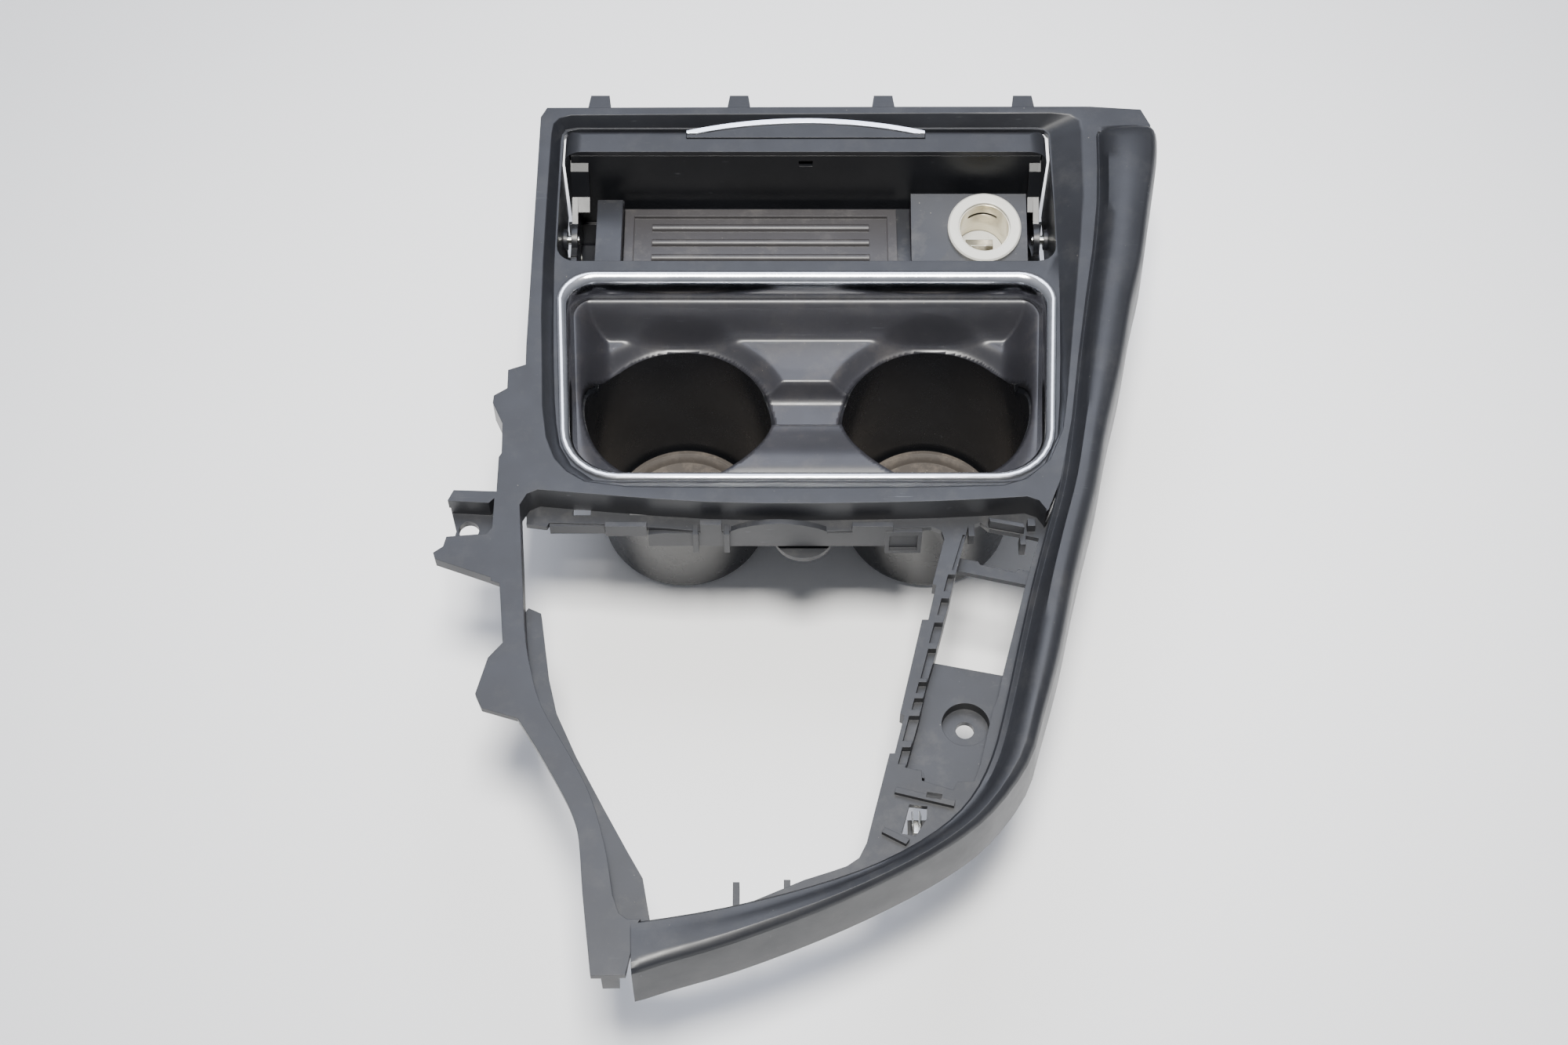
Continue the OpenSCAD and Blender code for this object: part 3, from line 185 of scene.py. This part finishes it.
def moulded(name, colour, worn, rough, grain, depth,
            dust=0.1, round_off=0.35, spec=0.5, dirt="#8f8b83"):
    """Moulded plastic: an eroded grain, uneven gloss, rubbed edges and streaks, and settled dust.

    The grain's width and depth and the edges' round_off are in millimetres. Dust runs from 0 to 1.
    """
    cloud_width, rub_width, film_width, smear_width = 45 * mm, 7 * mm, 16 * mm, 20 * mm
    look = bpy.data.materials.new(name)
    look.use_nodes = True
    tree = look.node_tree
    shader = tree.nodes["Principled BSDF"]
    where = put(tree, "ShaderNodeTexCoord", out="Object")
    # The tone is cloudy where hands and cloths have passed.
    clouds = put(tree, "ShaderNodeTexNoise",
                 {"Vector": where, "Scale": 1 / cloud_width, "Detail": 5.0, "Roughness": 0.6})
    cloudy = put(tree, "ShaderNodeMapRange", {0: clouds, 1: 0.35, 2: 0.7, 3: 0.0, 4: 0.35})
    # Edges show where the eased normal leaves the face's own, and are rubbed in patches.
    eased = put(tree, "ShaderNodeBevel", {"Radius": round_off * mm}, samples=4)
    flat = put(tree, "ShaderNodeNewGeometry", out="Normal")
    turned = put(tree, "ShaderNodeVectorMath", {0: eased, 1: flat}, "Value", operation="DOT_PRODUCT")
    edge = put(tree, "ShaderNodeMapRange", {0: turned, 1: 0.995, 2: 0.9})
    patchy = put(tree, "ShaderNodeTexNoise",
                 {"Vector": where, "Scale": 1 / rub_width, "Detail": 4.0, "Roughness": 0.7})
    patchy = put(tree, "ShaderNodeMapRange", {0: patchy, 1: 0.42, 2: 0.68, 3: 0.15, 4: 0.9})
    rubbed = put(tree, "ShaderNodeMath", {0: edge, 1: patchy}, operation="MULTIPLY")
    share = put(tree, "ShaderNodeMath", {0: rubbed, 1: cloudy}, operation="MAXIMUM")
    tone = put(tree, "ShaderNodeMix", {0: share, 6: paint(colour), 7: paint(worn)}, 2,
               data_type="RGBA")
    # Fine scratches from handling, 12 mm long, drawn 0.5 mm wide so that they show.
    stretch = (1 / (12 * mm), 1 / (0.5 * mm), 1 / (4 * mm))
    lines = put(tree, "ShaderNodeMapping", {0: where, 2: (0.2, 0.1, 0.7), 3: stretch})
    lines = put(tree, "ShaderNodeTexNoise", {"Vector": lines, "Scale": 1.0, "Detail": 2.0})
    lines = put(tree, "ShaderNodeMapRange", {0: lines, 1: 0.7, 2: 0.76})
    where_worn = put(tree, "ShaderNodeMapRange", {0: clouds, 1: 0.5, 2: 0.62, 3: 0.0, 4: 0.22})
    lines = put(tree, "ShaderNodeMath", {0: lines, 1: where_worn}, operation="MULTIPLY")
    tone = put(tree, "ShaderNodeMix", {0: lines, 6: tone, 7: paint("#7c7f84")}, 2, data_type="RGBA")
    # Dust lies on what faces up: specks half a millimetre across, finer lint between them, and a film.
    up = put(tree, "ShaderNodeSeparateXYZ", {0: flat}, 2)
    up = put(tree, "ShaderNodeMapRange", {0: up, 1: 0.3, 2: 0.9})
    fallen = 0.0
    for pitch, radius, keep in ((4.5, 0.26, dust), (1.9, 0.13, dust * 0.8)):
        cells = put(tree, "ShaderNodeTexVoronoi", {"Vector": where, "Scale": 1 / (pitch * mm)}, "Color")
        away = cells.node.outputs["Distance"]
        near = put(tree, "ShaderNodeMapRange",
                   {0: away, 1: radius / pitch, 2: 0.6 * radius / pitch})
        chance = put(tree, "ShaderNodeSeparateColor", {0: cells})
        chance = put(tree, "ShaderNodeMath", {0: chance, 1: keep}, operation="LESS_THAN")
        speck = put(tree, "ShaderNodeMath", {0: near, 1: chance}, operation="MULTIPLY")
        fallen = put(tree, "ShaderNodeMath", {0: speck, 1: fallen}, operation="MAXIMUM")
    film = put(tree, "ShaderNodeTexNoise",
               {"Vector": where, "Scale": 1 / film_width, "Detail": 6.0, "Roughness": 0.75})
    film = put(tree, "ShaderNodeMapRange", {0: film, 1: 0.5, 2: 0.75, 3: 0.0, 4: min(0.5, dust)})
    fallen = put(tree, "ShaderNodeMath", {0: fallen, 1: film}, operation="MAXIMUM")
    fallen = put(tree, "ShaderNodeMath", {0: fallen, 1: up}, operation="MULTIPLY")
    fallen = put(tree, "ShaderNodeMath", {0: fallen, 1: 0.6}, operation="MULTIPLY")
    tone = put(tree, "ShaderNodeMix", {0: fallen, 6: tone, 7: paint(dirt)}, 2, data_type="RGBA")
    tree.links.new(tone, shader.inputs["Base Color"])
    # Gloss drifts with handling, and dust kills it.
    smears = put(tree, "ShaderNodeTexNoise",
                 {"Vector": where, "Scale": 1 / smear_width, "Detail": 6.0, "Roughness": 0.65})
    dull = put(tree, "ShaderNodeMapRange", {0: smears, 1: 0.3, 2: 0.7, 3: rough - 0.05, 4: rough + 0.06})
    dull = put(tree, "ShaderNodeMath", {0: fallen, 1: 0.35, 2: dull}, operation="MULTIPLY_ADD")
    tree.links.new(dull, shader.inputs["Roughness"])
    shader.inputs["Specular IOR Level"].default_value = spec
    # The mould's eroded grain is a shallow bump.
    fine = put(tree, "ShaderNodeTexNoise",
               {"Vector": where, "Scale": 1 / (grain * mm), "Detail": 2.0, "Roughness": 0.6})
    bump = put(tree, "ShaderNodeBump",
               {"Height": fine, "Distance": depth * mm, "Strength": 1.0, "Normal": eased})
    tree.links.new(bump, shader.inputs["Normal"])
    return look


# The coat is nearly black by itself, and looks slate grey where it mirrors a pale ceiling.
coated_abs = moulded("soft_coated_abs", "#1b1c20", "#2b2d32", 0.42, 0.7, 0.012, 0.08)
smooth_copy("trim_panel", coated_abs, crease=38)

# Carrier frame: one moulding of glass-filled polypropylene that holds the panel and the cups from below.
# It is left as it comes from the mould, so it is matt and slightly coarse, with crisp pockets and ribs.

filled_pp = moulded("glass_filled_polypropylene", "#1c1d20", "#303136", 0.46, 0.9, 0.014, 0.15, 0.25)
smooth_copy("carrier_frame", filled_pp, crease=24)

# Basin: a scooped cover round the cups, moulded of ABS and clipped into the panel. Its faces flow into
# one another, so it is drawn here on a fine net that follows the frame's scoop, with the pads' edges
# rounded, a sunk saddle between the cups, and a cone round each mouth. These sizes are in millimetres,
# and their x and y start midway between the cups.

middle = Vector((-3.9335, 49.0))
rim_height = 92.9
half_pitch = 52
mouth_radius = 39
far_corner, far_radius = (88, 43), 15
near_corner, near_radius = (74.5, -20.5), 24
scoop, side_lip = 16, 2.5
cone_depth, cone_width = 5.5, 9
saddle_depth = 6.5
basin_wall = 2.0


def smooth_step(value):
    """Rises smoothly from 0 to 1 as the value does."""
    value = max(0.0, min(1.0, value))
    return value * value * (3 - 2 * value)


def half_width(y, inset):
    """Half the width of the surround's outline at y, moved inwards by inset."""
    for (corner_x, corner_y), radius, past in (
            (far_corner, far_radius - inset, y - far_corner[1]),
            (near_corner, near_radius - inset, near_corner[1] - y)):
        if past > 0:
            return corner_x + math.sqrt(max(0.0, radius ** 2 - past ** 2)) if past < radius else 0.0
    near_x, far_x = near_corner[0] + near_radius, far_corner[0] + far_radius
    along = (y - near_corner[1]) / (far_corner[1] - near_corner[1])
    return near_x + (far_x - near_x) * along - inset


def mouth_drop(x, y):
    """How far the cone round a cup's mouth, and the saddle, lie below the frame's scoop."""
    away = math.hypot(abs(x) - half_pitch, y) - mouth_radius
    cone = cone_depth * smooth_step((y + 6) / 14) * (1 - smooth_step(away / cone_width))
    saddle = smooth_step((y + 5) / 3.5) * smooth_step((21.5 - y) / 5) * smooth_step((34 - abs(x)) / 12)
    return max(cone, saddle_depth * saddle)


def basin_height(x, y):
    """Height of the basin's face above the floor."""
    low = rim_height - scoop
    side = low + (scoop - side_lip) * smooth_step((18 - y) / 56)
    far = low - 1.5 + 2 * smooth_step((y - 14) / 4)
    near_pad = rim_height - side_lip + 4 * smooth_step((-9 - y) / 20)
    pad = far + (near_pad - far) * smooth_step((-5.5 - y) / 4.5)
    base = pad + (side - pad) * smooth_step((abs(x) - 34) / 22)
    # The face runs up to the rim over these widths at the sides, the far end and the near end.
    edge = min((half_width(y, 6.4) - abs(x)) / 14, (51.6 - y) / 11, (y + 38.1) / 7)
    drop = mouth_drop(x, y) * smooth_step(edge * 1.5)
    return base + (rim_height - base) * (1 - smooth_step(edge)) - drop


net_half_x, net_half_y, net_middle_y = 104, 51.5, 7
rim_inset = 3.0
cut_radius = mouth_radius + 0.15
lip_radius = mouth_radius + 0.1
lip_reach = mouth_radius + 3

net = bmesh.new()
bmesh.ops.create_grid(net, x_segments=260, y_segments=130, size=1)
for point in net.verts:
    point.co.x *= net_half_x
    point.co.y = net_middle_y + net_half_y * point.co.y
spare = [face for face in net.faces if any(
    abs(v.co.x) > half_width(v.co.y, rim_inset)
    or math.hypot(abs(v.co.x) - half_pitch, v.co.y) < cut_radius for v in face.verts)]
bmesh.ops.delete(net, geom=spare, context="FACES")
for point in net.verts:
    reach = math.hypot(abs(point.co.x) - half_pitch, point.co.y)
    if point.is_boundary and reach < lip_reach:
        side = math.copysign(half_pitch, point.co.x)
        point.co.x = side + (point.co.x - side) * lip_radius / reach
        point.co.y *= lip_radius / reach
    point.co.z = basin_height(point.co.x, point.co.y)
for point in net.verts:
    point.co = Vector((point.co.x + middle.x, point.co.y + middle.y, point.co.z)) * mm
bmesh.ops.recalc_face_normals(net, faces=net.faces)
for face in net.faces:
    face.smooth = True
basin_mesh = bpy.data.meshes.new("basin_skin")
net.to_mesh(basin_mesh)
net.free()
# A fine eroded grain gives it a silky sheen, slightly warmer than the panel's coat.
grained_abs = moulded("fine_grained_abs", "#26262a", "#38373b", 0.34, 0.5, 0.012, 0.22, 0.0,
                      dirt="#7d7468")
basin_mesh.materials.append(grained_abs)
basin = bpy.data.objects.new("basin_skin", basin_mesh)
bpy.context.collection.objects.link(basin)
wall = basin.modifiers.new("wall", "SOLIDIFY")
wall.thickness = basin_wall * mm
wall.offset = -1.0 if basin_mesh.polygons[0].normal.z > 0 else 1.0
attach(basin, bodies["cup_basin"])
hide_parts("cup_basin")

# Cup housing: both cups in one moulding of black polypropylene, held to the carrier by two screws. It is
# polished, so it is nearly black inside and shines grey outside. Its mouths are lowered to stay under
# the basin's face.

black_pp = moulded("polished_black_polypropylene", "#121316", "#2c2d30", 0.28, 2.0, 0.01, 0.3, 0.0)
housing = smooth_copy("cup_housing", black_pp, crease=40)
mouth_from, under_basin = 66, 1.2
for point in housing.data.vertices:
    x, y, z = point.co.x / mm - middle.x, point.co.y / mm - middle.y, point.co.z / mm
    off_mouth = math.hypot(abs(x) - half_pitch, y) - mouth_radius
    if z > mouth_from and -1 < off_mouth < 4:
        point.co.z = min(z, basin_height(x, y) - under_basin) * mm

# Mats: soft rubber inserts that lie loose in the cups, and a ribbed one in the tray. The cups' mats are
# brown with dust, and the tray's is cleaner and shines on its ribs.

dusty_rubber = moulded("dusty_cup_rubber", "#443f3b", "#5d5751", 0.6, 0.8, 0.03, 0.7, 0.3, 0.4, "#a39687")
smooth_copy("left_cup_mat", dusty_rubber)
smooth_copy("right_cup_mat", dusty_rubber)
tray_rubber = moulded("ribbed_tray_rubber", "#333132", "#454344", 0.42, 0.6, 0.02, 0.3, 0.4)
smooth_copy("tray_mat", tray_rubber)

# Tray: one moulding of black ABS behind the cups, with the socket's sloping seat. It is semi-gloss from
# the mould's own finish. Its floor runs on under the necks of the lid as two closed wells, which keep
# the table out of sight behind the damper and the hinge.

black_abs = moulded("semi_gloss_black_abs", "#1a1b1f", "#303136", 0.36, 0.9, 0.01, 0.25, 0.3)
smooth_copy("storage_tray", black_abs)

# The wells' floors and far walls in the frame's millimetres: where each starts and ends along y and z.
floor_y, floor_z = (109.6, 165.0), (46, 48)
back_y, back_z = (165.6, 167.2), (46, 62)
for side, across in (("left", (-108.4, -85.4)), ("right", (91.6, 100.7))):
    well = bmesh.new()
    for box in ((across, floor_y, floor_z), (across, back_y, back_z)):
        for point in bmesh.ops.create_cube(well, size=1.0)["verts"]:
            point.co = Vector([(start + (end - start) * (part + 0.5)) * mm
                               for (start, end), part in zip(box, point.co)])
    well_mesh = bpy.data.meshes.new(side + "_well")
    well.to_mesh(well_mesh)
    well.free()
    well_mesh.materials.append(black_abs)
    well_piece = bpy.data.objects.new(side + "_well", well_mesh)
    bpy.context.collection.objects.link(well_piece)
    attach(well_piece, bodies["storage_tray"])

# Lid: an outer face coated like the panel, snapped onto a black ABS frame with two curved arms, and a
# grip along its edge. The frame has hardly any dust, because it stands upright when the lid is open.

lid_abs = moulded("lid_black_abs", "#111215", "#232428", 0.36, 0.9, 0.01, 0.08, 0.3)
smooth_copy("lid_panel", coated_abs)
smooth_copy("lid_frame", lid_abs)
smooth_copy("lid_grip", lid_abs)

# Bright parts: the surround of the cups and the strip on the lid's grip are plated ABS in satin chrome.
# They mirror the soft box and the room softly, and brown dust sits in patches on them.


def plated(name, low, high, rough, grime="#5b4a36", amount=0.5, line=0.5):
    """Plated or bare metal: uneven polish, faint lines and dull grime in patches."""
    smear_width, crumb_width, patch_width = 15 * mm, 1.1 * mm, 24 * mm
    look = bpy.data.materials.new(name)
    look.use_nodes = True
    tree = look.node_tree
    shader = tree.nodes["Principled BSDF"]
    where = put(tree, "ShaderNodeTexCoord", out="Object")
    # The polish is uneven, between a low and a high tone.
    smear = put(tree, "ShaderNodeTexNoise",
                {"Vector": where, "Scale": 1 / smear_width, "Detail": 5.0, "Roughness": 0.65})
    share = put(tree, "ShaderNodeMapRange", {0: smear, 1: 0.35, 2: 0.7})
    tone = put(tree, "ShaderNodeMix", {0: share, 6: paint(low), 7: paint(high)}, 2, data_type="RGBA")
    # Crumbs of grime about a millimetre across gather in patches.
    crumbs = put(tree, "ShaderNodeTexNoise",
                 {"Vector": where, "Scale": 1 / crumb_width, "Detail": 6.0, "Roughness": 0.8})
    crumbs = put(tree, "ShaderNodeMapRange", {0: crumbs, 1: 0.6, 2: 0.68})
    patch = put(tree, "ShaderNodeTexNoise",
                {"Vector": where, "Scale": 1 / patch_width, "Detail": 3.0, "Roughness": 0.6})
    patch = put(tree, "ShaderNodeMapRange", {0: patch, 1: 0.54, 2: 0.66, 3: 0.0, 4: amount})
    dirt = put(tree, "ShaderNodeMath", {0: crumbs, 1: patch}, operation="MULTIPLY")
    tone = put(tree, "ShaderNodeMix", {0: dirt, 6: tone, 7: paint(grime)}, 2, data_type="RGBA")
    tree.links.new(tone, shader.inputs["Base Color"])
    shader.inputs["Metallic"].default_value = 1.0
    dull = put(tree, "ShaderNodeMapRange", {0: smear, 1: 0.3, 2: 0.75, 3: rough - 0.03, 4: rough + 0.05})
    dull = put(tree, "ShaderNodeMath", {0: dirt, 1: 0.5, 2: dull}, operation="MULTIPLY_ADD")
    tree.links.new(dull, shader.inputs["Roughness"])
    # Edges are eased, and the surface waves by a few thousandths of a millimetre.
    eased = put(tree, "ShaderNodeBevel", {"Radius": 0.3 * mm}, samples=4)
    fine = put(tree, "ShaderNodeTexNoise",
               {"Vector": where, "Scale": 1 / (line * mm), "Detail": 2.0, "Roughness": 0.6})
    bump = put(tree, "ShaderNodeBump",
               {"Height": fine, "Distance": 0.003 * mm, "Strength": 1.0, "Normal": eased})
    tree.links.new(bump, shader.inputs["Normal"])
    return look


satin_chrome = plated("satin_chrome_plate", "#dfe1e5", "#f0f1f4", 0.14)
surround = smooth_copy("chrome_surround", satin_chrome, crease=100, even=False)
# Its top rolls over inwards, so the inner ring of the frame's shape is drawn in and down.
ring_low, ring_high, ring_reach = 103.7, 103.85, 100.1
ring_middle_y, draw_in_x, draw_in_y, draw_down = 7, 0.987, 0.975, 2.2
for point in surround.data.vertices:
    x, y, z = point.co.x / mm - middle.x, point.co.y / mm - middle.y, point.co.z / mm
    if ring_low < z < ring_high and abs(x) < ring_reach:
        y = ring_middle_y + (y - ring_middle_y) * draw_in_y
        point.co = Vector((middle.x + x * draw_in_x, middle.y + y, z - draw_down)) * mm
smooth_copy("handle_trim", satin_chrome)

# Power socket: a rolled, nickel-plated steel shell in a cream ring, pressed into the tray's seat. Inside
# it are a bent spring sheet on a rivet and an insulator, and two terminals stand out behind.

nickel = plated("bright_nickel_plate", "#c8bfa8", "#ddd5c0", 0.2, amount=0.3)
smooth_copy("socket_shell", nickel)
smooth_copy("socket_terminals", nickel)
tinned = plated("tinned_spring_sheet", "#d6d2c4", "#efece0", 0.2, amount=0.2)
smooth_copy("socket_contact", tinned)
# Plain polyamide is slightly waxy, so the ring shines softly.
cream_polyamide = moulded("cream_white_polyamide", "#cfcec6", "#dedcd4", 0.36, 0.8, 0.006, 0.25, 0.3,
                          dirt="#8a7a62")
smooth_copy("socket_ring", cream_polyamide)
smooth_copy("socket_insulator", cream_polyamide)

# Damper: a black ABS body on the tray's lug below the left hinge, with a moulded polyamide pinion that
# runs on the toothed sector of the lid's arm and slows the lid.

smooth_copy("damper_body", lid_abs)
smooth_copy("damper_gear", cream_polyamide)

# Small steel parts: two turned hinge pins and a bent spring clip, zinc-plated and bright, and the screws
# of the cup housing and the front boss, black from an oxide bath.

steel = plated("zinc_plated_steel", "#b9b9b4", "#d4d4cf", 0.24, amount=0.3)
for name in ("left_hinge_pin", "right_hinge_pin", "rear_spring_clip"):
    smooth_copy(name, steel)
black_steel = plated("black_oxide_steel", "#17181b", "#26272a", 0.36, amount=0.2)
for name in ("housing_screws", "front_screw"):
    smooth_copy(name, black_steel)
